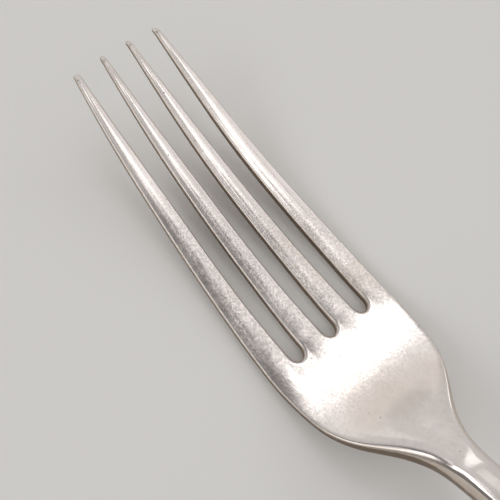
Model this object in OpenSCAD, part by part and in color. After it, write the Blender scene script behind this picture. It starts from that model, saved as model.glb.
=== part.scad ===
// Dinner fork with four tines, made in one piece from a single blank.
// The length runs along X with the tips toward +X, and the front faces +Z.
// Every station is a distance back from the tips, measured along the table.
// The sheet of the fork is described by its front rim, and its thickness is
// laid off square to the curve of the front.

/* [Length] */
// Length of the tines, from the longest tip to the roots of the slots
tine_l = 62.9; // [52:0.1:68]
// Length of the palm, from the roots of the slots to the neck
palm_l = 24.6; // [21:0.1:32]
// Length of the handle, from the neck to its end
handle_l = 117.5; // [90:0.1:140]

/* [Head] */
// Width of the head at its widest, across the roots of the slots
head_w = 24.5; // [23:0.1:28]
// Width across the tips of the outer tines
tip_span = 18; // [16:0.1:20]
// Width of an outer tine near its root
outer_tine_w = 4.05; // [3.4:0.05:4.4]
// Width of an inner tine near its root
inner_tine_w = 3.7; // [3:0.05:4.1]
// Width of an outer tine at its tip
outer_tip_w = 1.05; // [0.8:0.05:1.6]
// Width of an inner tine at its tip
inner_tip_w = 0.85; // [0.7:0.05:1.6]
// Length over which the corners of a tip are rounded off
tip_round_l = 0.6; // [0.3:0.05:1]
// Length of the bevel on the front of a tip
tip_bevel_l = 1.3; // [1:0.1:2]
// How far the outer tips stand back from the inner ones
tip_step = 0.45; // [0:0.05:1]
// How far the left outer tip stands back from the right one
tip_slant = 1.05; // [0:0.05:1.5]
// Length of the rounded root of a slot
root_round_l = 1.8; // [1:0.1:2.4]
// How much the left side of each slot closes in toward its root
slot_taper_w = 0.65; // [0:0.05:0.8]

/* [Side profile] */
// Rise of the tips above the heel
tip_rise = 12.75; // [8:0.05:16]
// Rise of the arch of the handle above the heel
arch_rise = 21; // [14:0.5:25]

/* [Thickness] */
// Thickness of a tine at its tip
tip_t = 1.25; // [1:0.05:1.6]
// Thickness of a tine over most of its length
tine_t = 2; // [1.6:0.05:2.6]
// Thickness of the rim at the shoulders of the palm
shoulder_t = 1.5; // [1.3:0.05:2.2]
// Thickness of the neck at its sides
neck_rim_t = 3.7; // [2.8:0.1:4.4]
// Thickness of the neck at its middle, below the ridge
neck_t = 4.2; // [3.2:0.1:5]
// Thickness of the handle at its end
end_t = 2; // [1.6:0.05:2.6]

/* [Neck and handle] */
// Width of the neck at its narrowest
neck_w = 5.2; // [4.4:0.1:6.5]
// Width of the end of the handle
end_w = 21; // [17:0.2:25]
// Length of the rounded end of the handle
end_round_l = 9.5; // [7:0.1:12]
// Height of the ridge along the front of the neck
ridge_h = 0.7; // [0.2:0.05:1]

/* [Edges] */
// Height of the rounding on the front edges of the tines
tine_edge_r = 0.5; // [0.3:0.02:0.6]
// Height of the rounding on the front edge round the root of a slot
root_edge_r = 0.75; // [0.3:0.05:0.8]
// Height of the rounding on the front rim of the palm
palm_edge_r = 0.35; // [0.25:0.01:0.5]
// Height of the rounding on the front edges of the handle
handle_edge_r = 0.75; // [0.5:0.05:0.9]
// Height of the crown across the front and back of each tine
tine_crown = 0.2; // [0:0.01:0.25]

/* [Hidden] */

// Height of the back roundings as a share of the front ones
back_edge_share = 1.3;
// Largest rounding as a share of the thickness and of the width it is cut from
edge_limit_share = 0.4;
// Width and thickness left at the very end of a tip, as shares of those of the tine there
tip_end_w_share = 0.6;
tip_end_t_share = 0.35;
// Depth worn flat under the heel, so that the fork rests on a face
wear_d = 0.18;

// Slots between the four tines
slots = 3;
// Steps round each edge, round the root of a slot and round the end
edge_steps = 3;
root_steps = 6;
end_steps = 16;
// Rows along the tines, the palm and the handle
tine_rows = 20;
palm_rows = 16;
handle_rows = 30;
// Rows over which the lines behind the slots straighten out
ease_rows = 4;
// Rows of the palm over which the crowns of the tines run out, and the same for the left tine
crown_rows = 3;
left_crown_rows = 6;
// Samples between two stations of a faired curve
fair_steps = 12;
// Half of the stretch over which a slope is measured, as a share of the tines
probe_share = 0.0167;
// Fullness of the ridge across the fork: at 1 it is a parabola, and less is fuller
ridge_power = 0.75;
// Crowding of the rows of the handle toward the neck
row_power = 1.15;

// Where the rounded roots begin, where the neck is, where the rounded end begins
root_s = tine_l - root_round_l;
neck_s = tine_l + palm_l;
fork_l = neck_s + handle_l;
end_s = fork_l - end_round_l;

// Faired curves: each station is [share of the length, share of the size]

// Growth of the width of the head and of the tines, from the tips to the roots
head_growth_shares = [[0, 0], [0.19, 0.425], [0.43, 0.67], [0.67, 0.89], [0.87, 1.005], [0.96, 1]];
tine_growth_shares = [[0, 0], [0.21, 0.52], [0.45, 0.865], [0.74, 0.95], [0.91, 1.015], [1, 1]];
// Narrowing of the palm from the widest part of the head to the neck
shoulder_shares = [[0.02, 1], [0.16, 0.975], [0.3, 0.925], [0.42, 0.865], [0.54, 0.71],
    [0.64, 0.49], [0.74, 0.24], [0.86, 0.04], [1, 0]];
// Widening of the handle from the neck to its end
spread_shares = [[0.06, 0], [0.16, 0.03], [0.3, 0.11], [0.46, 0.26], [0.62, 0.48], [0.76, 0.74],
    [0.86, 0.93]];
// Fall of the tines to the heel, then the climb to the arch and the fall of the handle
tine_rise_shares = [[0, 1], [0.16, 0.688], [0.385, 0.318], [0.62, 0.097], [0.81, 0.013],
    [0.945, -0.008]];
palm_rise_shares = [[0.1, 0.023], [0.34, 0.099], [0.58, 0.219], [0.82, 0.382]];
handle_rise_shares = [[0.013, 0.565], [0.064, 0.752], [0.115, 0.899], [0.17, 0.987],
    [0.24, 1.005], [0.34, 0.93], [0.47, 0.74], [0.61, 0.51], [0.75, 0.285], [0.88, 0.1],
    [1, -0.006]];

// Growth of the thickness between two named thicknesses
tine_t_shares = [[0, 0], [0.14, 0.5], [0.35, 0.95], [0.6, 1], [0.85, 1.02], [0.98, 1.05]];
palm_mid_t_shares = [[0.18, 0.3], [0.42, 0.58], [0.66, 0.82], [0.9, 0.97]];
palm_rim_t_shares = [[0.16, 1], [0.5, 0], [0.72, 0.45], [0.88, 0.92]];
handle_t_shares = [[0.04, 1], [0.14, 0.96], [0.28, 0.74], [0.46, 0.42], [0.66, 0.16], [0.84, 0.02],
    [1, 0]];

// Closing in of a slot toward its root
slot_taper_shares = [[0, 0], [0.62, 0], [0.78, 0.15], [0.9, 0.45], [0.97, 0.93], [1, 1.1]];

// Change of the edge rounding from the tines to the palm, then from the palm to the handle
palm_edge_shares = [[0, 0], [0.73, 0], [0.975, 1], [1.2, 1]];
handle_edge_shares = [[1, 0.7], [2, 1]];

// Part of the ridge of the neck that each station keeps
ridge_shares = [[-0.1, 0], [0.3, 0.02], [0.6, 0.5], [0.85, 0.95], [1.1, 1], [1.8, 0.85],
    [2.8, 0.45], [4, 0.25], [5.2, 0.2]];
// Part of the crown of a tine that each station keeps, and the same for the left tine,
// whose crown runs on into the rolled left rim of the palm
crown_shares = [[0, 0.7], [0.15, 1], [0.91, 1], [0.945, 0.95], [0.975, 0.4], [1, 0]];
left_crown_shares = [[0, 0.7], [0.15, 1], [1, 1]];

function lerp(a, b, t) = (1 - t) * a + t * b;

// A uniform cubic B-spline through a list of stations, held at both ends
function span_point(p, i, t) = (pow(1 - t, 3) * p[i] + (3 * pow(t, 3) - 6 * t * t + 4) * p[i + 1]
    + (3 * t * (1 + t - t * t) + 1) * p[i + 2] + pow(t, 3) * p[i + 3]) / 6;
function faired(stations) = let (
        a = stations[0],
        b = stations[len(stations) - 1],
        p = concat([a, a], stations, [b, b]))
    [each [for (i = [0 : len(p) - 4], k = [0 : fair_steps - 1]) span_point(p, i, k / fair_steps)], b];

// Stations laid out from a start, over a length, between two sizes
function laid(shares, s0, l, a, b) = [for (p = shares) [s0 + p[0] * l, lerp(a, b, p[1])]];

half_w_curve = faired(concat(
    laid(head_growth_shares, 0, tine_l, tip_span / 2, head_w / 2),
    laid(shoulder_shares, tine_l, palm_l, neck_w / 2, head_w / 2),
    laid(spread_shares, neck_s, handle_l, neck_w / 2, end_w / 2),
    [[end_s, end_w / 2], [fork_l, end_w / 2]]));
growth_curve = faired(laid(tine_growth_shares, 0, tine_l, 0, 1));
rise_curve = faired(concat(
    laid(tine_rise_shares, 0, tine_l, 0, tip_rise),
    laid(palm_rise_shares, tine_l, palm_l, 0, arch_rise),
    laid(handle_rise_shares, neck_s, handle_l, 0, arch_rise)));
mid_t_curve = faired(concat(
    laid(tine_t_shares, 0, tine_l, tip_t, tine_t),
    laid(palm_mid_t_shares, tine_l, palm_l, tine_t, neck_t),
    laid(handle_t_shares, neck_s, handle_l, end_t, neck_t)));
rim_t_curve = faired(concat(
    laid(tine_t_shares, 0, tine_l, tip_t, tine_t),
    [for (p = palm_rim_t_shares) [tine_l + p[0] * palm_l,
        lerp(shoulder_t, p[0] < 0.5 ? tine_t : neck_rim_t, p[1])]],
    laid(handle_t_shares, neck_s, handle_l, end_t, neck_rim_t)));
edge_curve = faired(concat(
    laid(palm_edge_shares, 0, tine_l, tine_edge_r, palm_edge_r),
    laid(handle_edge_shares, tine_l, palm_l, palm_edge_r, handle_edge_r)));
taper_curve = faired(laid(slot_taper_shares, 0, tine_l, 0, 1));
ridge_curve = faired(laid(ridge_shares, tine_l, palm_l, 0, ridge_h));
crown_curve = faired(laid(crown_shares, 0, tine_l, 0, tine_crown));
left_crown_curve = faired(laid(left_crown_shares, 0, tine_l, 0, tine_crown));

// Sizes at a station
function half_w(s) = lookup(s, half_w_curve);
function tine_w(s, tip_w, root_w) = lerp(tip_w, root_w, lookup(s, growth_curve));
function slot_w(s) = (2 * (half_w(s) - tine_w(s, outer_tip_w, outer_tine_w)
    - tine_w(s, inner_tip_w, inner_tine_w))) / slots;
function limited_r(s, w, r) = min(r, edge_limit_share * lookup(s, rim_t_curve), edge_limit_share * w);
function edge_r(s, w) = limited_r(s, w, lookup(s, edge_curve));
function slot_edge_r(s, w) = lerp(edge_r(s, w), limited_r(s, w, root_edge_r),
    min(1, pow(lookup(s, taper_curve), 2)));
probe = probe_share * tine_l;
function slope(curve, s) = (lookup(s + probe, curve) - lookup(s - probe, curve)) / (2 * probe);

// Part of the middle thickness and of the ridge kept at a place across the fork
function across(s, y) = max(0, 1 - pow(y / half_w(min(s, end_s)), 2));

// A place on the sheet: station, place across, depth of the front, depth of the back.
// drop is how far an edge rounding has cut into the front, and lift is the crown there.
function place(s, y, drop = 0, lift = 0) = let (
        a = across(s, y),
        ridge = lookup(s, ridge_curve) * pow(a, ridge_power),
        back = lerp(lookup(s, rim_t_curve), lookup(s, mid_t_curve), a * a))
    [s, y, drop - lift - ridge, back + lift - back_edge_share * drop];

// Height of the crown of tine k
function crown(k, s) = lookup(s, k == slots ? left_crown_curve : crown_curve);

// How far in from the edge, and how far down, each line of a rounding runs
function edge_in(j) = 1 - cos(90 * j / edge_steps);
function edge_down(j) = 1 - sin(90 * j / edge_steps);

// One row across tine k, from its right edge to its left edge
function tine_row(k, s) = let (
        y0 = tine_edges(k, s)[0],
        y1 = tine_edges(k, s)[1],
        e0 = k == 0 ? edge_r(s, y1 - y0) : slot_edge_r(s, y1 - y0),
        e1 = k == slots ? edge_r(s, y1 - y0) : slot_edge_r(s, y1 - y0))
    concat(
        [for (j = [0 : edge_steps]) place(s, y0 + e0 * edge_in(j), e0 * edge_down(j))],
        [place(s, (y0 + y1) / 2, 0, crown(k, s))],
        [for (j = [edge_steps : -1 : 0]) place(s, y1 - e1 * edge_in(j), e1 * edge_down(j))]);

// The end of a tip: its corners are rounded off and its front is bevelled toward the back
function tip_w_share(d) = sqrt(1 - (1 - pow(tip_end_w_share, 2)) * pow(max(0, 1 - d / tip_round_l), 2));
function tip_t_share(d) = lerp(tip_end_t_share, 1, min(1, d / tip_bevel_l));
function tipped(row, d) = let (
        m = row[edge_steps + 1],
        w = tip_w_share(d),
        t = tip_t_share(d))
    [for (p = row) [p[0], lerp(m[1], p[1], w), lerp(m[3], p[2], t), lerp(m[3], p[3], t)]];

// Right and left edges of tine k at a station, the tines counted from the right
function tine_edges(k, s) = let (
        w = half_w(s),
        o = tine_w(s, outer_tip_w, outer_tine_w),
        i = tine_w(s, inner_tip_w, inner_tine_w),
        g = slot_w(s),
        t = slot_taper_w * lookup(s, taper_curve))
    k == 0 ? [-w, o - w] : k == 1 ? [-g / 2 - i - t, -g / 2] : k == 2 ? [g / 2 - t, g / 2 + i]
    : [w - o - t, w];

// How far each tip stands back from the longest one
tip_backs = [for (k = [0 : slots]) (k == 0 || k == slots ? tip_step : 0) + k * tip_slant / slots];

tip_row_shares = [0, 0.06, 0.22, 0.46, 0.75, 1];
function tine(k) = let (
        first = tip_backs[k] - min(tip_backs),
        body_s = first + tip_bevel_l,
        stations = concat(
            [for (t = tip_row_shares) t * tip_bevel_l],
            [for (i = [1 : tine_rows]) lerp(body_s, root_s, i / tine_rows) - first]))
    [for (d = stations) tipped(tine_row(k, d >= root_s - first ? root_s : first + d), d)];

// The rings round the root of a slot, from the slot outward
function root_rings(k) = let (
        y0 = tine_edges(k, root_s)[1],
        y1 = tine_edges(k + 1, root_s)[0],
        m = (y0 + y1) / 2,
        r = (y1 - y0) / 2,
        before = tine_row(k, root_s),
        after = tine_row(k + 1, root_s),
        last = len(before) - 1,
        e = slot_edge_r(root_s, y0 - tine_edges(k, root_s)[0]))
    [for (j = [0 : edge_steps]) [for (i = [0 : root_steps]) let (
            a = 180 * i / root_steps,
            nx = sin(a) / root_round_l,
            ny = cos(a) / r,
            n = norm([nx, ny]),
            d = e * edge_in(j))
        i == 0 ? before[last - j] : i == root_steps ? after[j]
        : place(root_s + root_round_l * sin(a) + d * nx / n, m - r * cos(a) - d * ny / n,
            e * edge_down(j))]];

// One row across the palm, the neck or the handle, through places given as shares
function wide_row(s, inner, bulge, lift) = let (
        m = slope(half_w_curve, s),
        n = norm([1, m]),
        w = half_w(s),
        e = edge_r(s, 2 * w),
        sides = [for (j = [0 : edge_steps]) [s + e * edge_in(j) * m / n, w - e * edge_in(j) / n]],
        se = sides[edge_steps][0],
        we = sides[edge_steps][1],
        last = len(inner) - 1)
    concat(
        [for (j = [0 : edge_steps]) place(sides[j][0], -sides[j][1], e * edge_down(j))],
        [for (i = [1 : last - 1]) place(se + bulge[i], we * inner[i], 0, lift[i])],
        [for (j = [edge_steps : -1 : 0]) place(sides[j][0], sides[j][1], e * edge_down(j))]);

function cut(list, a, b) = [for (i = [a : b]) list[i]];

// The row where the tines and the rings of the slots meet the palm
rows_of_tines = [for (k = [0 : slots]) tine(k)];
rings_of_slots = [for (k = [0 : slots - 1]) root_rings(k)];
function root_row(k) = let (t = rows_of_tines[k]) t[len(t) - 1];
inside = edge_steps + 2;
first_palm_row = concat(
    cut(root_row(0), 0, inside),
    cut(rings_of_slots[0][edge_steps], 1, root_steps),
    cut(root_row(1), edge_steps + 1, inside),
    cut(rings_of_slots[1][edge_steps], 1, root_steps),
    cut(root_row(2), edge_steps + 1, inside),
    cut(rings_of_slots[2][edge_steps], 1, root_steps),
    cut(root_row(3), edge_steps + 1, len(root_row(3)) - 1));
palm_cols = len(first_palm_row) - 2 * edge_steps;
palm_we = first_palm_row[edge_steps + palm_cols - 1][1];
palm_inner = [for (i = [0 : palm_cols - 1]) first_palm_row[edge_steps + i][1] / palm_we];
palm_bulge = [for (i = [0 : palm_cols - 1]) first_palm_row[edge_steps + i][0] - root_s];
// The crown of each tine runs out into the palm, in the column that goes on from its middle
crown_cols = [for (k = [0 : slots]) 1 + k * (2 + root_steps)];
function crown_kept(k, i) = let (t = max(0, 1 - i / (k == slots ? left_crown_rows : crown_rows)))
    crown(k, root_s) * t * t * (3 - 2 * t);
function palm_lift(i) = [for (j = [0 : palm_cols - 1]) let (k = search(j, crown_cols))
    len(k) == 0 ? 0 : crown_kept(k[0], i)];
// The same shares made even from side to side, as they are at the neck
even_inner = [for (i = [0 : palm_cols - 1]) (palm_inner[i] - palm_inner[palm_cols - 1 - i]) / 2];
palm = concat([first_palm_row], [for (i = [1 : palm_rows]) wide_row(
    lerp(root_s, neck_s, i / palm_rows), lerp(palm_inner, even_inner, i / palm_rows),
    max(0, 1 - i / ease_rows) * palm_bulge, palm_lift(i))]);

// The columns of the palm that the handle keeps
half_slot = root_steps / 2;
kept = [0, 2, 2 + root_steps, 4 + root_steps, 4 + root_steps + half_slot, 4 + 2 * root_steps,
    6 + 2 * root_steps, 6 + 3 * root_steps, 8 + 3 * root_steps];
handle_inner = [for (i = kept) even_inner[i]];
straight = [for (i = kept) 0];
handle_cols = len(kept) + 2 * edge_steps;
mid_col = (handle_cols - 1) / 2;

// One spoke round the end of the handle, from its edge to the middle of the rounding
function end_spoke(a) = let (
        b = half_w(end_s),
        n = norm([sin(a) / end_round_l, cos(a) / b]),
        n_s = sin(a) / end_round_l / n,
        n_y = cos(a) / b / n,
        e = edge_r(end_s, 2 * b),
        s = end_s + end_round_l * sin(a),
        y = -b * cos(a))
    concat(
        [for (j = [0 : edge_steps]) place(s - e * edge_in(j) * n_s, y + e * edge_in(j) * n_y,
            e * edge_down(j))],
        [for (i = [1 : (len(kept) - 1) / 2]) let (t = 1 + handle_inner[i])
            place(lerp(s - e * n_s, end_s, t), lerp(y + e * n_y, 0, t))]);
end_fan = [for (i = [0 : end_steps]) end_spoke(180 * i / end_steps)];
last_handle_row = concat(end_fan[0],
    [for (i = [mid_col - 1 : -1 : 0]) end_fan[end_steps][i]]);
handle = concat(
    [for (i = [0 : handle_rows - 1]) let (t = (i + 1) / (handle_rows + 1))
        wide_row(lerp(neck_s, end_s, pow(t, row_power)), handle_inner, straight, straight)],
    [last_handle_row]);

// Points of a patch of the sheet: all of its front, then all of its back
x_end = fork_l / 2;
function at(p, h) = let (
        m = slope(rise_curve, p[0]),
        n = norm([1, m]))
    [x_end - p[0] - h * m / n, p[1], max(0, tine_t - wear_d + lookup(p[0], rise_curve) - h / n)];
function patch_points(rows) = concat(
    [for (r = rows, p = r) at(p, p[2])],
    [for (r = rows, p = r) at(p, p[3])]);

// Triangles, clockwise as seen from outside
function quad(a, b, c, d) = [[a, b, c], [a, c, d]];
function turned(t) = [t[0], t[2], t[1]];

// Triangles of the front of a patch of n rows by c columns whose points start at o
function skin(n, c, o) = [for (i = [0 : n - 2], j = [0 : c - 2]) let (a = o + i * c + j)
    each quad(a, a + c, a + c + 1, a + 1)];
// The same for a fan, where the last column is one place
function fan_skin(n, c, o) = [for (i = [0 : n - 2], j = [0 : c - 2]) let (a = o + i * c + j)
    each j == c - 2 ? [[a, a + c, a + c + 1]] : quad(a, a + c, a + c + 1, a + 1)];
// The same between a row with many columns and a row that keeps some of them
function stitch(a, b, cols) = [for (i = [0 : len(cols) - 2]) each concat(
    [for (j = [cols[i] : cols[i + 1] - 1]) [a + j, b + i, a + j + 1]],
    [[a + cols[i + 1], b + i, b + i + 1]])];
// Front triangles together with the matching ones on the back
function both(tris, shift) = concat(tris, [for (t = tris) turned([for (p = t) p + shift])]);

// A wall that joins the front to the back along a run of [front, back] points
function wall(run) = [for (i = [0 : len(run) - 2])
    each quad(run[i][0], run[i + 1][0], run[i + 1][1], run[i][1])];
function col_run(n, c, o, j) = [for (i = [0 : n - 1]) let (a = o + i * c + j) [a, a + n * c]];
function row_run(n, c, o, i) = [for (j = [0 : c - 1]) let (a = o + i * c + j) [a, a + n * c]];
function reversed(run) = [for (i = [len(run) - 1 : -1 : 0]) run[i]];

// Patches in the order of their points, and where the points of each start
patches = concat(rows_of_tines, rings_of_slots, [palm, handle, end_fan]);
function rows_in(i) = len(patches[i]);
function cols_in(i) = len(patches[i][0]);
function start(i) = i == 0 ? 0 : start(i - 1) + 2 * rows_in(i - 1) * cols_in(i - 1);
starts = [for (i = [0 : len(patches) - 1]) start(i)];
function patch_skin(i) = both(skin(rows_in(i), cols_in(i), starts[i]), rows_in(i) * cols_in(i));
function right_run(i) = reversed(col_run(rows_in(i), cols_in(i), starts[i], 0));
function left_run(i) = col_run(rows_in(i), cols_in(i), starts[i], cols_in(i) - 1);
function first_run(i) = row_run(rows_in(i), cols_in(i), starts[i], 0);

palm_i = 7;
handle_i = 8;
end_i = 9;
kept_cols = concat([for (j = [0 : edge_steps - 1]) j], [for (i = kept) edge_steps + i],
    [for (j = [0 : edge_steps - 1]) edge_steps + palm_cols + j]);
palm_last = starts[palm_i] + palm_rows * cols_in(palm_i);
palm_back = rows_in(palm_i) * cols_in(palm_i);
handle_back = rows_in(handle_i) * cols_in(handle_i);
neck_front = stitch(palm_last, starts[handle_i], kept_cols);
neck_faces = concat(
    neck_front,
    [for (t = neck_front) turned([for (p = t) p < starts[handle_i] ? p + palm_back : p + handle_back])],
    wall([left_run(palm_i)[palm_rows], left_run(handle_i)[0]]),
    wall([right_run(handle_i)[handle_rows], right_run(palm_i)[0]]));

fork_points = [for (p = patches) each patch_points(p)];
fork_faces = concat(
    [for (i = [0 : 3]) each concat(patch_skin(i),
        wall(right_run(i)), wall(first_run(i)), wall(left_run(i)))],
    [for (i = [4 : 6]) each concat(patch_skin(i), wall(first_run(i)))],
    [for (i = [palm_i, handle_i]) each concat(patch_skin(i), wall(right_run(i)), wall(left_run(i)))],
    neck_faces,
    both(fan_skin(rows_in(end_i), cols_in(end_i), starts[end_i]), rows_in(end_i) * cols_in(end_i)),
    wall(right_run(end_i)));

module fork() {
    color([0.8, 0.77, 0.74])
        polyhedron(points = fork_points, faces = fork_faces, convexity = 6);
}

fork();
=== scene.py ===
"""A dinner fork lying on a pale table.

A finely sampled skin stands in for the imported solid. The rest is its worn silver finish, the table,
the camera and soft studio light.
"""

import math

import bmesh
import bpy
import numpy as np
from mathutils import Matrix, Vector


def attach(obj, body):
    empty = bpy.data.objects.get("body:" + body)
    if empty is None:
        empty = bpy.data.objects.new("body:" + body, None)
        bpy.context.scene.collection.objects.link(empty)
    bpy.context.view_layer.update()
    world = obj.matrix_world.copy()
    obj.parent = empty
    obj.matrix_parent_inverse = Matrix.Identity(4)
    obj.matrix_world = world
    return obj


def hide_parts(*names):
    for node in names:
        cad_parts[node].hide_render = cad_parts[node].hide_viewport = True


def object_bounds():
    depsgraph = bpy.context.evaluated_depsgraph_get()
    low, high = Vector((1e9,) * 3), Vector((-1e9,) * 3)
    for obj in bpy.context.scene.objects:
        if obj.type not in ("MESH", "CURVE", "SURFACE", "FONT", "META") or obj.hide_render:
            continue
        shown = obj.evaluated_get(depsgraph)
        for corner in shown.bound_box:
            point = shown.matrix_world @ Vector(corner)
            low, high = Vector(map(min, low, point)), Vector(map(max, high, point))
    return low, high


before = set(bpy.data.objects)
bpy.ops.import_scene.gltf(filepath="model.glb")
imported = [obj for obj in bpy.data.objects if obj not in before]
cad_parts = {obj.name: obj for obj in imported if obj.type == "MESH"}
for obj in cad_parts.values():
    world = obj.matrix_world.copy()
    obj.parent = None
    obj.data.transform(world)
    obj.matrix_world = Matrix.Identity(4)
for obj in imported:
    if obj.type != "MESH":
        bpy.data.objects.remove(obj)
cad_low, cad_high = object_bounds()

MM = 0.001

# Sizes of the fork in millimetres, as in the source of the solid
tine_l, palm_l, handle_l = 62.9, 24.6, 117.5
head_w, tip_span = 24.5, 18.0
outer_tine_w, inner_tine_w, outer_tip_w, inner_tip_w = 4.05, 3.7, 1.05, 0.85
tip_round_l, tip_bevel_l, tip_step, tip_slant = 0.6, 1.3, 0.45, 1.05
root_round_l, slot_taper_w = 1.8, 0.65
tip_rise, arch_rise = 12.75, 21.0
tip_t, tine_t, shoulder_t, neck_rim_t, neck_t, end_t = 1.25, 2.0, 1.5, 3.7, 4.2, 2.0
neck_w, end_w, end_round_l, ridge_h = 5.2, 21.0, 9.5, 0.7
tine_edge_r, root_edge_r, palm_edge_r, handle_edge_r, tine_crown = 0.5, 0.75, 0.35, 0.75, 0.2
back_edge_share, edge_limit_share = 1.3, 0.4
tip_end_w_share, tip_end_t_share = 0.6, 0.35
wear_d, probe_share, ridge_power, row_power = 0.18, 0.0167, 0.75, 1.15
# The neck's edges are rounder here than in the solid, and its ridge starts with a low swelling
neck_edge_r, swell_h = 1.6, 0.14

root_s = tine_l - root_round_l
neck_s = tine_l + palm_l
fork_l = neck_s + handle_l
end_s = fork_l - end_round_l
x_end = fork_l / 2

# How finely the skin is sampled: round an edge, across a tine, round a slot's root,
# along the tines, the palm and the handle, and round the end
EDGE, ACROSS, ROOT, TINE, PALM, EASE, HANDLE, END = 6, 7, 24, 140, 72, 18, 200, 64
# Rows of the palm over which the crowns of the tines run out, and the same for the left tine
RUN, LEFT_RUN = 14, 27
# Points in each span of a faired curve
FAIR = 64
# Rows of a tine on the bevel of its tip, as shares of the bevel's length
TIP_ROWS = [0, 0.02, 0.06, 0.12, 0.2, 0.3, 0.42, 0.55, 0.7, 0.85, 1]
# Points of neighbouring patches that lie closer than this, in metres, become one
MERGE_M = 2e-7


def lerp(a, b, t):
    return (1 - t) * a + t * b


def faired(stations):
    """The stations' uniform cubic B-spline, held at both ends."""
    p = np.array([stations[0]] * 2 + list(stations) + [stations[-1]] * 2, float)
    t = np.linspace(0, 1, FAIR, endpoint=False)[:, None]
    spans = [
        ((1 - t) ** 3 * p[i] + (3 * t**3 - 6 * t**2 + 4) * p[i + 1]
         + (3 * t * (1 + t - t * t) + 1) * p[i + 2] + t**3 * p[i + 3]) / 6
        for i in range(len(p) - 3)
    ]
    return np.vstack(spans + [p[-1:]])


def laid(shares, s0, length, a, b):
    """Stations from shares of a length after s0, each with a value that is a share of the way from a to b."""
    return [(s0 + u * length, lerp(a, b, v)) for u, v in shares]


def read(curve, s):
    """The value of a faired curve at a station."""
    return np.interp(s, curve[:, 0], curve[:, 1])


half_w_curve = faired(
    laid([(0, 0), (0.19, 0.425), (0.43, 0.67), (0.67, 0.89), (0.87, 1.005), (0.96, 1)],
         0, tine_l, tip_span / 2, head_w / 2)
    + laid([(0.02, 1), (0.16, 0.975), (0.3, 0.925), (0.42, 0.865), (0.54, 0.71), (0.64, 0.49),
            (0.74, 0.24), (0.86, 0.04), (1, 0)], tine_l, palm_l, neck_w / 2, head_w / 2)
    + laid([(0.06, 0), (0.16, 0.03), (0.3, 0.11), (0.46, 0.26), (0.62, 0.48), (0.76, 0.74),
            (0.86, 0.93)], neck_s, handle_l, neck_w / 2, end_w / 2)
    + [(end_s, end_w / 2), (fork_l, end_w / 2)])
growth_curve = faired(
    laid([(0, 0), (0.21, 0.52), (0.45, 0.865), (0.74, 0.95), (0.91, 1.015), (1, 1)], 0, tine_l, 0, 1))
rise_curve = faired(
    laid([(0, 1), (0.16, 0.688), (0.385, 0.318), (0.62, 0.097), (0.81, 0.013), (0.945, -0.008)],
         0, tine_l, 0, tip_rise)
    + laid([(0.1, 0.023), (0.34, 0.099), (0.58, 0.219), (0.82, 0.382)], tine_l, palm_l, 0, arch_rise)
    + laid([(0.013, 0.565), (0.064, 0.752), (0.115, 0.899), (0.17, 0.987), (0.24, 1.005),
            (0.34, 0.93), (0.47, 0.74), (0.61, 0.51), (0.75, 0.285), (0.88, 0.1), (1, -0.006)],
           neck_s, handle_l, 0, arch_rise))
tine_ts = laid([(0, 0), (0.14, 0.5), (0.35, 0.95), (0.6, 1), (0.85, 1.02), (0.98, 1.05)],
               0, tine_l, tip_t, tine_t)
handle_t_shares = [(0.04, 1), (0.14, 0.96), (0.28, 0.74), (0.46, 0.42), (0.66, 0.16), (0.84, 0.02), (1, 0)]
mid_t_curve = faired(
    tine_ts
    + laid([(0.18, 0.3), (0.42, 0.58), (0.66, 0.82), (0.9, 0.97)], tine_l, palm_l, tine_t, neck_t)
    + laid(handle_t_shares, neck_s, handle_l, end_t, neck_t))
rim_t_curve = faired(
    tine_ts
    + laid([(0.16, 1)], tine_l, palm_l, shoulder_t, tine_t)
    + laid([(0.5, 0), (0.72, 0.45), (0.88, 0.92)], tine_l, palm_l, shoulder_t, neck_rim_t)
    + laid(handle_t_shares, neck_s, handle_l, end_t, neck_rim_t))
edge_curve = faired(
    laid([(0, 0), (0.73, 0), (0.975, 1), (1.2, 1)], 0, tine_l, tine_edge_r, palm_edge_r)
    + laid([(0.6, 0), (0.82, 0.45), (1, 0.9), (1.2, 1), (1.6, 1)], tine_l, palm_l, palm_edge_r, neck_edge_r)
    + laid([(0.45, 0.5), (0.8, 0)], neck_s, handle_l, handle_edge_r, neck_edge_r))
taper_curve = faired(
    laid([(0, 0), (0.62, 0), (0.78, 0.15), (0.9, 0.45), (0.97, 0.93), (1, 1.1)], 0, tine_l, 0, 1))
ridge_curve = faired(
    laid([(-0.1, 0), (0.3, 0.02), (0.6, 0.5), (0.85, 0.95), (1.1, 1), (1.8, 0.85), (2.8, 0.45),
          (4, 0.25), (5.2, 0.2)], tine_l, palm_l, 0, ridge_h))
swell_curve = faired(
    laid([(0.91, 0), (0.94, 0), (0.97, 0.35), (1, 0.85), (1.025, 1), (1.11, 0.85), (1.25, 0.45),
          (1.5, 0), (1.7, 0)], tine_l, palm_l, 0, swell_h))
crown_curve = faired(
    laid([(0, 0.7), (0.15, 1), (0.91, 1), (0.945, 0.95), (0.975, 0.4), (1, 0)], 0, tine_l, 0, tine_crown))
left_crown_curve = faired(laid([(0, 0.7), (0.15, 1), (1, 1)], 0, tine_l, 0, tine_crown))
crown_curves = [crown_curve, crown_curve, crown_curve, left_crown_curve]

probe = probe_share * tine_l
crown_shape = 1 - np.linspace(-1, 1, ACROSS + 2)[1:-1] ** 2


def slope(curve, s):
    return (read(curve, s + probe) - read(curve, s - probe)) / (2 * probe)


def half_w(s):
    return read(half_w_curve, s)


def tine_w(s, tip, root):
    return lerp(tip, root, read(growth_curve, s))


def limited_r(s, w, r):
    return min(r, edge_limit_share * read(rim_t_curve, s), edge_limit_share * w)


def edge_r(s, w):
    return limited_r(s, w, read(edge_curve, s))


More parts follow.
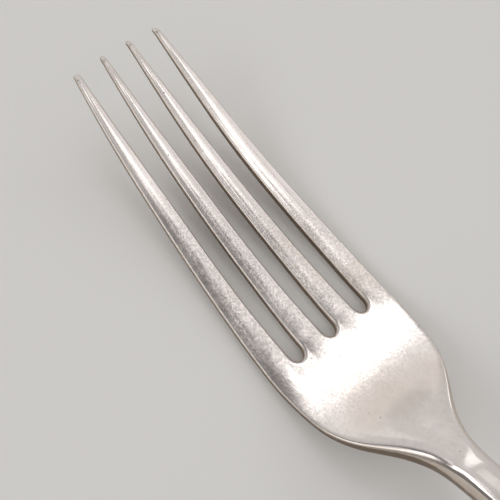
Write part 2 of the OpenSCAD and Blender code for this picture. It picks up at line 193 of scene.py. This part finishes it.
def slot_edge_r(s, w):
    return lerp(edge_r(s, w), limited_r(s, w, root_edge_r), min(1, read(taper_curve, s) ** 2))


def place(s, y, drop=0.0, lift=0.0, rim=0.0):
    """Station, place across, depth of the front, depth of the back, and how far round the edge."""
    s, y, drop, lift, rim = np.broadcast_arrays(*[np.asarray(v, float) for v in (s, y, drop, lift, rim)])
    a = np.maximum(0, 1 - (y / half_w(np.minimum(s, end_s))) ** 2)
    back = lerp(read(rim_t_curve, s), read(mid_t_curve, s), a * a)
    front = drop - lift - read(ridge_curve, s) * a**ridge_power - read(swell_curve, s) * a
    return np.stack([s, y, front, back + lift - back_edge_share * drop, rim], -1)


quarter = np.linspace(0, math.pi / 2, EDGE + 1)
edge_in, edge_down, edge_rim = 1 - np.cos(quarter), 1 - np.sin(quarter), np.cos(quarter)


def tine_edges(k, s):
    """Where tine k starts and ends across the fork, with k = 0 at negative Y."""
    w = half_w(s)
    o = tine_w(s, outer_tip_w, outer_tine_w)
    i = tine_w(s, inner_tip_w, inner_tine_w)
    g = 2 * (w - o - i) / 3
    t = slot_taper_w * read(taper_curve, s)
    return [(-w, o - w), (-g / 2 - i - t, -g / 2), (g / 2 - t, g / 2 + i), (w - o - t, w)][k]


def tine_row(k, s):
    """The points across tine k at a station: an edge, the crown and the other edge."""
    y0, y1 = tine_edges(k, s)
    w = y1 - y0
    e0 = edge_r(s, w) if k == 0 else slot_edge_r(s, w)
    e1 = edge_r(s, w) if k == 3 else slot_edge_r(s, w)
    u = np.arange(1, ACROSS + 1) / (ACROSS + 1)
    return np.vstack([
        place(s, y0 + e0 * edge_in, e0 * edge_down, 0, edge_rim),
        place(s, lerp(y0 + e0, y1 - e1, u), 0, read(crown_curves[k], s) * crown_shape),
        place(s, (y1 - e1 * edge_in)[::-1], (e1 * edge_down)[::-1], 0, edge_rim[::-1]),
    ])


def tipped(row, d):
    """A row drawn in toward the middle of its tine, for a place at distance d from the tip."""
    m = row[EDGE + (ACROSS + 1) // 2]
    w = math.sqrt(1 - (1 - tip_end_w_share**2) * max(0, 1 - d / tip_round_l) ** 2)
    t = lerp(tip_end_t_share, 1, min(1, d / tip_bevel_l))
    out = row.copy()
    out[:, 1] = lerp(m[1], row[:, 1], w)
    out[:, 2:4] = lerp(m[3], row[:, 2:4], t)
    return out


tip_backs = [(tip_step if k in (0, 3) else 0) + k * tip_slant / 3 for k in range(4)]


def tine(k):
    first = tip_backs[k] - min(tip_backs)
    near = np.array(TIP_ROWS) * tip_bevel_l
    far = np.linspace(tip_bevel_l, root_s - first, TINE + 1)[1:]
    return np.stack([tipped(tine_row(k, first + d), d) for d in np.concatenate([near, far])])


def root_rings(k):
    """The rounded edge of the slot's root between tines k and k + 1, ring by ring."""
    y0, y1 = tine_edges(k, root_s)[1], tine_edges(k + 1, root_s)[0]
    m, r = (y0 + y1) / 2, (y1 - y0) / 2
    before, after = tine_row(k, root_s), tine_row(k + 1, root_s)
    e = slot_edge_r(root_s, y0 - tine_edges(k, root_s)[0])
    a = np.linspace(0, math.pi, ROOT + 1)
    nx, ny = np.sin(a) / root_round_l, np.cos(a) / r
    n = np.hypot(nx, ny)
    rings = []
    for j in range(EDGE + 1):
        d = e * edge_in[j]
        ring = place(root_s + root_round_l * np.sin(a) + d * nx / n, m - r * np.cos(a) - d * ny / n,
                     e * edge_down[j], 0, edge_rim[j])
        ring[0], ring[-1] = before[len(before) - 1 - j], after[j]
        rings.append(ring)
    return np.stack(rings)


def wide_row(s, inner, bulge, lift):
    """The points across the palm or the handle at a station."""
    m = slope(half_w_curve, s)
    n = math.hypot(1, m)
    w = half_w(s)
    e = edge_r(s, 2 * w)
    side_s, side_w = s + e * edge_in * m / n, w - e * edge_in / n
    return np.vstack([
        place(side_s, -side_w, e * edge_down, 0, edge_rim),
        place(side_s[-1] + bulge[1:-1], side_w[-1] * inner[1:-1], 0, lift[1:-1]),
        place(side_s[::-1], side_w[::-1], (e * edge_down)[::-1], 0, edge_rim[::-1]),
    ])


def end_spoke(a, inner):
    """The points from the rounded end's rim, at angle a, to its middle."""
    b = half_w(end_s)
    n = math.hypot(math.sin(a) / end_round_l, math.cos(a) / b)
    n_s, n_y = math.sin(a) / end_round_l / n, math.cos(a) / b / n
    e = edge_r(end_s, 2 * b)
    s, y = end_s + end_round_l * math.sin(a), -b * math.cos(a)
    t = 1 + inner[1:(len(inner) + 1) // 2]
    return np.vstack([
        place(s - e * edge_in * n_s, y + e * edge_in * n_y, e * edge_down, 0, edge_rim),
        place(lerp(s - e * n_s, end_s, t), lerp(y + e * n_y, 0, t)),
    ])


def palm_lift(i):
    """What is left of the crowns of the tines in row i of the palm."""
    out = [0]
    for k in range(4):
        t = max(0, 1 - i / (LEFT_RUN if k == 3 else RUN))
        out += [*(read(crown_curves[k], root_s) * t * t * (3 - 2 * t) * crown_shape), 0]
        out += [0] * (ROOT if k < 3 else 0)
    return np.array(out)


def patches():
    """Each patch of the sheet, and which of its sides are free edges."""
    tines = [tine(k) for k in range(4)]
    rings = [root_rings(k) for k in range(3)]
    inside = EDGE + ACROSS + 1
    parts = [tines[0][-1][: inside + 1]]
    for k in range(3):
        parts += [rings[k][EDGE][1:], tines[k + 1][-1][EDGE + 1 : (inside + 1 if k < 2 else None)]]
    first = np.vstack(parts)
    inner_part = first[EDGE:-EDGE]
    inner = inner_part[:, 1] / inner_part[-1, 1]
    bulge = inner_part[:, 0] - root_s
    even = (inner - inner[::-1]) / 2
    palm = [first] + [wide_row(lerp(root_s, neck_s, i / PALM), lerp(inner, even, i / PALM),
                               max(0, 1 - i / EASE) * bulge, palm_lift(i)) for i in range(1, PALM + 1)]
    fan = np.stack([end_spoke(math.pi * i / END, even) for i in range(END + 1)])
    handle = [palm[-1]] + [
        wide_row(lerp(neck_s, end_s, ((i + 1) / (HANDLE + 1)) ** row_power), even, 0 * bulge, 0 * bulge)
        for i in range(HANDLE)]
    handle.append(np.vstack([fan[0], fan[-1][-2::-1]]))
    return ([(t, "left first right") for t in tines] + [(r, "first") for r in rings]
            + [(np.stack(palm), "left right"), (np.stack(handle), "left right"), (fan, "left")])


def laid_off(p, h):
    """The place in millimetres that lies at depth h below a place on the front profile."""
    m = slope(rise_curve, p[..., 0])
    n = np.hypot(1, m)
    z = tine_t - wear_d + read(rise_curve, p[..., 0]) - h / n
    return np.stack([x_end - p[..., 0] - h * m / n, p[..., 1], np.maximum(0, z)], -1)


def skin_mesh(name):
    """The sheet's patches as one closed skin, with each point's rim and lane for the finish."""
    points, faces, rims, lanes, start = [], [], [], [], 0
    for p, free in patches():
        rows, cols = p.shape[:2]
        ids = start + np.arange(rows * cols).reshape(rows, cols)
        back = ids + rows * cols
        quads = np.stack([ids[:-1, :-1], ids[1:, :-1], ids[1:, 1:], ids[:-1, 1:]], -1).reshape(-1, 4)
        faces += quads.tolist() + (quads + rows * cols)[:, ::-1].tolist()
        sides = {"left": (ids[:, 0], back[:, 0]), "right": (ids[:, -1], back[:, -1]),
                 "first": (ids[0], back[0])}
        for side in free.split():
            f, b = sides[side]
            faces += np.stack([f[:-1], f[1:], b[1:], b[:-1]], -1).tolist()
        points += [laid_off(p, p[..., 2]).reshape(-1, 3), laid_off(p, p[..., 3]).reshape(-1, 3)]
        rims += [p[..., 4].ravel()] * 2
        lane = p[..., 1] - (p[:, p.shape[1] // 2, 1][:, None] if "first right" in free else 0)
        lanes += [lane.ravel()] * 2
        start += 2 * rows * cols
    co = np.clip(np.vstack(points) * MM, np.array(cad_low), np.array(cad_high))
    me = bpy.data.meshes.new(name)
    me.from_pydata(co.tolist(), [], faces)
    for label, values in (("rim", rims), ("lane", lanes)):
        me.attributes.new(label, "FLOAT", "POINT").data.foreach_set("value", np.concatenate(values))
    bm = bmesh.new()
    bm.from_mesh(me)
    bmesh.ops.remove_doubles(bm, verts=bm.verts, dist=MERGE_M)
    bmesh.ops.recalc_face_normals(bm, faces=bm.faces)
    bm.to_mesh(me)
    bm.free()
    me.polygons.foreach_set("use_smooth", [True] * len(me.polygons))
    me.update()
    return me


class Nodes:
    """A short way to write a node tree."""

    def __init__(self, tree):
        self.tree = tree
        tree.nodes.clear()

    def add(self, kind, props=None, **inputs):
        """A node with its settings and inputs: i7 is input 7, and an _ in a name is a space."""
        node = self.tree.nodes.new(kind)
        for key, value in (props or {}).items():
            setattr(node, key, value)
        for key, value in inputs.items():
            numbered = key[0] == "i" and key[1:].isdigit()
            socket = node.inputs[int(key[1:]) if numbered else key.replace("_", " ")]
            if isinstance(value, bpy.types.NodeSocket):
                self.tree.links.new(value, socket)
            else:
                socket.default_value = value
        return node

    def math(self, op, a, b):
        return self.add("ShaderNodeMath", {"operation": op}, i0=a, i1=b).outputs[0]

    def times(self, a, b):
        return self.math("MULTIPLY", a, b)

    def plus(self, first, *others):
        for other in others:
            first = self.math("ADD", first, other)
        return first

    def ramp(self, value, low, high, to_low=0.0, to_high=1.0):
        return self.add("ShaderNodeMapRange", {"interpolation_type": "SMOOTHSTEP"}, Value=value,
                        From_Min=low, From_Max=high, To_Min=to_low, To_Max=to_high).outputs[0]

    def mix(self, factor, a, b):
        return self.add("ShaderNodeMix", {"data_type": "RGBA"}, i0=factor, i6=a, i7=b).outputs[2]

    def noise(self, vector, scale, detail, rough=0.55):
        return self.add("ShaderNodeTexNoise", Vector=vector, Scale=scale, Detail=detail,
                        Roughness=rough).outputs[0]

    def cells(self, vector, scale):
        """Round cells: the distance to each one's middle, and a random share for each."""
        node = self.add("ShaderNodeTexVoronoi", {"voronoi_dimensions": "3D"}, Vector=vector, Scale=scale)
        chance = self.add("ShaderNodeSeparateColor", Color=node.outputs["Color"]).outputs[0]
        return node.outputs["Distance"], chance

    def scratches(self, vector, turn, length, gap, width, shift):
        """Fine lines that run one way: the borders of long thin cells."""
        turned = self.add("ShaderNodeMapping", Vector=vector, Rotation=(0, 0, turn),
                          Location=shift).outputs[0]
        thin = self.add("ShaderNodeMapping", Vector=turned, Scale=(1 / length, 1 / gap, 1)).outputs[0]
        edge = self.add("ShaderNodeTexVoronoi",
                        {"voronoi_dimensions": "2D", "feature": "DISTANCE_TO_EDGE"},
                        Vector=thin, Scale=1.0).outputs["Distance"]
        return self.ramp(edge, 0.0, width, 1.0, 0.0)


# Stretches of the fork over which the finish changes, in millimetres from the tips
POLISH_ENDS, TIP_HAZE_ENDS, ROOT_WEAR_STARTS, WEAR_ENDS = (34, 47), (20, 32), (53, 60), (69, 76)
# The last of these is where the rims' tarnish and painted dark reflection fade out along the handle
PALM_RIM_ENDS, HANDLE_STARTS, RIM_TARNISH_AND_DARK_REFLECTION_ENDS = (83, 87), (84, 92), (88, 100)
# How much sooner the polish ends per millimetre to the left, and how far that end wanders
POLISH_SLANT, POLISH_WANDER = 0.6, 9.0
# Sizes of the patterns, as waves or cells per millimetre
WANDER_SCALE, CLOUD_SCALE, PATCH_SCALE, MOTTLE_SCALE = 0.25, 0.06, 0.35, 0.8
GRAIN_SCALE, FLECK_SCALE, PIT_SCALE = 2.9, 3.6, 0.8
# Polishing lines: waves per millimetre along and across a tine, and from tine to tine
LINE_ALONG, LINE_ACROSS, LINE_SHIFT = 0.05, 3.0, 0.12
# Scratches: turn, length, gap between two, width as a share of the gap, and shift
SCRATCHES = [
    (0.5, 9.0, 0.8, 0.05, (3.1, 0.7, 0)),
    (-0.35, 7.0, 1.1, 0.04, (8.3, 4.9, 0)),
    (1.45, 5.0, 1.6, 0.03, (1.7, 9.2, 0)),
]
# Colours of the metal, and how high a full step of its relief is, in metres
BRIGHT, DULL = (0.88, 0.815, 0.785, 1), (0.67, 0.62, 0.6, 1)
# EDGE_DARK darkens the pits, and on the walls it is a painted dark reflection with a tarnish tone
BROWN, EDGE_DARK = (0.55, 0.44, 0.33, 1), (0.22, 0.165, 0.12, 1)
RELIEF_M = 0.00001


def silver():
    """Worn silver plate: polished along the tines, mottled round the slots, browned at the rims, with painted
    dark reflection on the rims and walls.
    """
    mat = bpy.data.materials.new("worn_silver")
    mat.use_nodes = True
    n = Nodes(mat.node_tree)
    place_mm = n.add("ShaderNodeMapping", Vector=n.add("ShaderNodeTexCoord").outputs["Object"],
                     Scale=(1 / MM, 1 / MM, 1 / MM)).outputs[0]
    rim = n.add("ShaderNodeAttribute", {"attribute_name": "rim"}).outputs["Fac"]
    lane = n.add("ShaderNodeAttribute", {"attribute_name": "lane"}).outputs["Fac"]
    x, y, _ = n.add("ShaderNodeSeparateXYZ", Vector=place_mm).outputs

    # Where each kind of finish lies, from 0 for absent to 1 for full
    station = n.math("SUBTRACT", x_end, x)
    polish_end = n.plus(n.times(y, POLISH_SLANT), n.times(n.noise(place_mm, WANDER_SCALE, 2), POLISH_WANDER))
    drawn = n.ramp(n.plus(station, polish_end), *POLISH_ENDS, 1.0, 0.0)
    worn = n.times(n.math("SUBTRACT", 1.0, drawn), n.ramp(station, *WEAR_ENDS, 1.0, 0.0))
    rooted = n.ramp(station, *ROOT_WEAR_STARTS)
    handled = n.ramp(station, *HANDLE_STARTS)
    # How much of the rims' tarnish and of the walls' painted dark reflection is left along the handle
    unhandled = n.ramp(station, *RIM_TARNISH_AND_DARK_REFLECTION_ENDS, 1.0, 0.25)

    # Stains, mottling and speckle, from large to small
    clouds = n.noise(place_mm, CLOUD_SCALE, 3)
    patchy = n.noise(place_mm, PATCH_SCALE, 3, 0.6)
    mottle = n.noise(place_mm, MOTTLE_SCALE, 5, 0.7)
    grain = n.noise(place_mm, GRAIN_SCALE, 4, 0.8)
    _, fleck = n.cells(place_mm, FLECK_SCALE)
    speckle = n.plus(n.times(grain, 0.6), n.times(fleck, 0.4))

    # Polishing lines along the tines
    lanes = n.add("ShaderNodeCombineXYZ", X=n.times(station, LINE_ALONG), Y=n.times(lane, LINE_ACROSS),
                  Z=n.times(y, LINE_SHIFT)).outputs[0]
    drawn_lines = n.noise(lanes, 1.0, 3, 0.6)

    # Fine scratches, seen in patches, and a few small pits
    first, second, third = [n.scratches(place_mm, *values) for values in SCRATCHES]
    lines = n.math("MAXIMUM", n.math("MAXIMUM", first, second), third)
    seen_lines = n.times(n.times(lines, n.ramp(patchy, 0.42, 0.6)), n.plus(n.times(worn, 0.8), 0.2))
    distance, rare = n.cells(place_mm, PIT_SCALE)
    pits = n.times(n.ramp(distance, 0.06, 0.13, 1.0, 0.0), n.ramp(rare, 0.8, 0.84))

    # The edges: a brown fringe, and the dark wall below it, both partly tarnish and partly painted dark
    # reflection
    fringe = n.ramp(n.plus(rim, n.times(patchy, 0.3)), 0.4, 1.05, 0.0, 0.6)
    wall = n.times(n.ramp(n.plus(rim, n.times(mottle, 0.12)), 0.97, 1.06), unhandled)

    # The colour: each line lays one tone over those before it
    tone = BRIGHT
    for share, over in (
        (n.times(n.ramp(speckle, 0.3, 0.7), n.plus(n.times(worn, 0.85), 0.12)), DULL),
        (n.ramp(mottle, 0.42, 0.72, 0.0, 0.3), DULL),
        (n.times(n.ramp(drawn_lines, 0.42, 0.66), n.times(drawn, 0.35)), DULL),
        (n.ramp(clouds, 0.5, 0.75, 0.0, 0.25), BROWN),
        (n.times(n.ramp(patchy, 0.4, 0.7), n.times(handled, 0.45)), DULL),
        (n.times(pits, 0.7), EDGE_DARK),
        # The next two lay brown tarnish and a painted dark reflection on the rims and the walls
        (n.times(fringe, unhandled), BROWN),
        (wall, EDGE_DARK),
    ):
        tone = n.mix(share, tone, over)

    # The roughness, as a sum
    rough = n.plus(
        n.times(n.ramp(mottle, 0.3, 0.7), n.times(worn, 0.05)),
        n.ramp(station, *TIP_HAZE_ENDS, 0.11, 0.065),
        n.times(n.times(rooted, worn), 0.06),
        n.ramp(patchy, 0.35, 0.65, 0.0, 0.03),
        n.times(grain, 0.04),
        n.times(seen_lines, 0.06),
        n.times(wall, 0.1),
        n.times(n.ramp(rim, 0.0, 0.8), n.ramp(station, *PALM_RIM_ENDS, 0.2, 0.03)),
        n.times(handled, n.ramp(clouds, 0.35, 0.65, -0.03, 0.09)))

    # The relief, as a sum
    grained = n.plus(n.times(rooted, 0.9), 0.3)
    height = n.plus(
        n.times(patchy, n.plus(n.times(worn, -0.2), 0.6)),
        n.times(mottle, n.plus(n.times(worn, 0.2), 0.07)),
        n.times(grain, n.plus(n.times(worn, grained), 0.03)),
        n.times(drawn_lines, n.times(drawn, 0.35)),
        n.times(seen_lines, -0.2),
        n.times(pits, -1.2))
    bump = n.add("ShaderNodeBump", Strength=1.0, Distance=RELIEF_M, Height=height).outputs[0]

    shader = n.add("ShaderNodeBsdfPrincipled", Base_Color=tone, Metallic=1.0, Roughness=rough, Normal=bump)
    n.add("ShaderNodeOutputMaterial", Surface=shader.outputs[0])
    return mat


# The table: a wide pale disc with faint clouds in its colour
TABLE_SIDES, TABLE_R, TABLE_ROUGH, TABLE_CLOUD_SCALE = 96, 4.0, 0.75, 3.0
TABLE_LIGHT, TABLE_DARK = (0.87, 0.855, 0.835, 1), (0.84, 0.827, 0.81, 1)


def table_top():
    mat = bpy.data.materials.new("pale_table")
    mat.use_nodes = True
    n = Nodes(mat.node_tree)
    where = n.add("ShaderNodeTexCoord").outputs["Object"]
    tone = n.mix(n.noise(where, TABLE_CLOUD_SCALE, 2), TABLE_LIGHT, TABLE_DARK)
    shader = n.add("ShaderNodeBsdfPrincipled", Base_Color=tone, Roughness=TABLE_ROUGH)
    n.add("ShaderNodeOutputMaterial", Surface=shader.outputs[0])
    return mat


def linked(name, data):
    """A new object in the scene."""
    obj = bpy.data.objects.new(name, data)
    bpy.context.scene.collection.objects.link(obj)
    return obj


fork = linked("fork_skin", skin_mesh("fork_skin"))
fork.data.materials.append(silver())
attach(fork, "root")
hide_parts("fork")

bm = bmesh.new()
bmesh.ops.create_circle(bm, cap_ends=True, segments=TABLE_SIDES, radius=TABLE_R)
floor_mesh = bpy.data.meshes.new("table")
bm.to_mesh(floor_mesh)
bm.free()
table = linked("table", floor_mesh)
table.data.materials.append(table_top())

# The camera: its place in millimetres, the directions of the picture's right and lower sides,
# and a lens as long as the sensor is wide
CAMERA_MM = Vector((29.231, 22.349, 79.817))
RIGHT, DOWN = Vector((-0.59850, -0.80092, -0.01793)), Vector((-0.71958, 0.54728, -0.42743))
LENS, NEAREST, FARTHEST = 36.0, 0.005, 20.0

camera_data = bpy.data.cameras.new("camera")
camera_data.sensor_width = camera_data.lens = LENS
camera_data.clip_start, camera_data.clip_end = NEAREST, FARTHEST
camera = linked("camera", camera_data)
axes = Matrix((RIGHT, -DOWN, RIGHT.cross(-DOWN))).transposed().to_4x4()
camera.matrix_world = Matrix.Translation(CAMERA_MM * MM) @ axes
bpy.context.scene.camera = camera

# The light: soft boxes in one plane above the table, all facing down, at this height in metres
BOX_Z = 0.6
WHITE, KEY_WHITE, WARM, MILD = (1, 1, 1), (1, 0.99, 0.975), (1, 0.985, 0.97), (1, 0.985, 0.975)


def soft_box(name, x0, x1, y0, y1, level, colour=WHITE, turn=0.0):
    """A lamp from its edges as shares of BOX_Z, how bright it looks, and its turn in degrees."""
    data = bpy.data.lights.new(name, "AREA")
    data.shape, data.size, data.size_y = "RECTANGLE", (x1 - x0) * BOX_Z, (y1 - y0) * BOX_Z
    data.energy = level * math.pi * data.size * data.size_y
    data.color = colour
    lamp = linked(name, data)
    lamp.location = ((x0 + x1) / 2 * BOX_Z, (y0 + y1) / 2 * BOX_Z, BOX_Z)
    lamp.rotation_euler = (0, 0, math.radians(turn))


# Over the tines and the palm
soft_box("key", 0.44, 0.88, -0.62, -0.16, 2.0, KEY_WHITE)
soft_box("key_near", 0.91, 1.12, -0.8, -0.1, 0.27, WARM)
soft_box("key_far", 1.12, 1.4, -0.85, -0.15, 0.18, WARM)
soft_box("top", -0.05, 0.229, -0.42, 0.0, 1.65, WARM, 8.0)
soft_box("top_near", 0.16, 0.226, 0.0, 0.12, 1.6, WARM)
soft_box("top_mid", 0.17, 0.226, 0.12, 0.28, 1.0, WARM)
soft_box("top_left", -0.05, 0.235, 0.28, 0.7, 0.5, MILD)
soft_box("corner_left", 0.24, 0.5, 0.42, 0.95, 0.5, MILD)
soft_box("top_right", -0.05, 0.28, -1.3, -0.42, 0.9, MILD)
soft_box("side", 0.3, 0.44, -1.3, -0.5, 0.42, MILD)
# To the sides, for the neck, and behind for the handle
soft_box("far_right", -0.5, 0.76, -2.6, -1.6, 0.8)
soft_box("mid_right", -0.5, 0.53, -1.6, -1.3, 0.6)
soft_box("neck_front", 1.78, 2.7, -1.6, 0.25, 0.6)
soft_box("neck_side", 1.2, 1.33, 0.3, 0.9, 0.5)
soft_box("neck_band", 1.37, 1.72, 0.75, 2.3, 2.2)
soft_box("far_left", -0.5, 0.85, 0.9, 2.2, 1.5)
soft_box("back_left", -2.2, -0.6, 1.2, 2.6, 0.7)
soft_box("back_right", -2.2, -0.6, -2.6, -1.2, 0.7)
soft_box("back", -2.2, -0.75, -1.1, 1.1, 0.75)

# The room: dim, and brighter toward one side
ROOM_COLOUR, ROOM_DIM, ROOM_LIT = (1, 0.985, 0.965, 1), 0.2, 0.64
LIT_SIDE = Vector((0.86, -0.5, 0.0)).normalized()

world = bpy.data.worlds.new("room")
world.use_nodes = True
bpy.context.scene.world = world
n = Nodes(world.node_tree)
looking = n.add("ShaderNodeTexCoord").outputs["Generated"]
lean = n.add("ShaderNodeVectorMath", {"operation": "DOT_PRODUCT"}, i0=looking, i1=LIT_SIDE).outputs["Value"]
level = n.ramp(lean, 0.2, 0.7, ROOM_DIM, ROOM_LIT)
sky = n.add("ShaderNodeBackground", Color=ROOM_COLOUR, Strength=level)
n.add("ShaderNodeOutputWorld", Surface=sky.outputs[0])

bpy.context.scene.view_settings.view_transform = "Standard"
